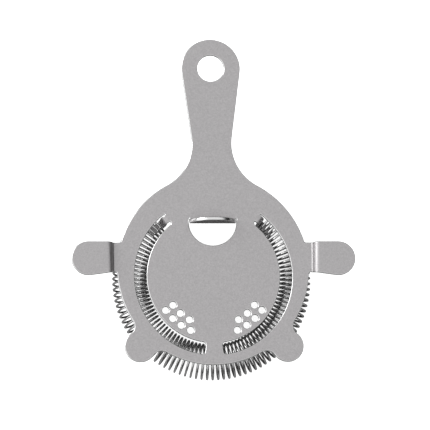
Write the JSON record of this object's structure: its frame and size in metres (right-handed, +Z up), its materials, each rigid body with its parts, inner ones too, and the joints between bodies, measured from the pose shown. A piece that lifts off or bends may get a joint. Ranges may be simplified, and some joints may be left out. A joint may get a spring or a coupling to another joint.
{
  "type": "hawthorne strainer",
  "caption": "Flat four-lug cocktail strainer with an integral handle, an upright thumb tab, two curved slots, drain holes and a ring-shaped coil spring held under the plate.",
  "frame": {"origin": "on the axis of the spring's ring, on the surface that the strainer lies on", "axes": "+Z up out of the plate's upper face, +Y from the spring towards the handle, +X to the right seen from above"},
  "size_m": [0.1168, 0.141, 0.0261],
  "materials": {
    "satin_steel": "satin, bead blasted",
    "spring_wire": "bright drawn wire"
  },
  "bodies": {
    "plate": {"plate": "satin_steel"},
    "spring": {"spring": "spring_wire"}
  },
  "joints": [
    {"name": "spring_squeeze", "type": "slide", "parent": "plate", "child": "spring", "axis": [0, 1, 0], "range_m": [0, 0.005], "stiffness_N_per_m": 400, "deforming": ["spring"]}
  ]
}
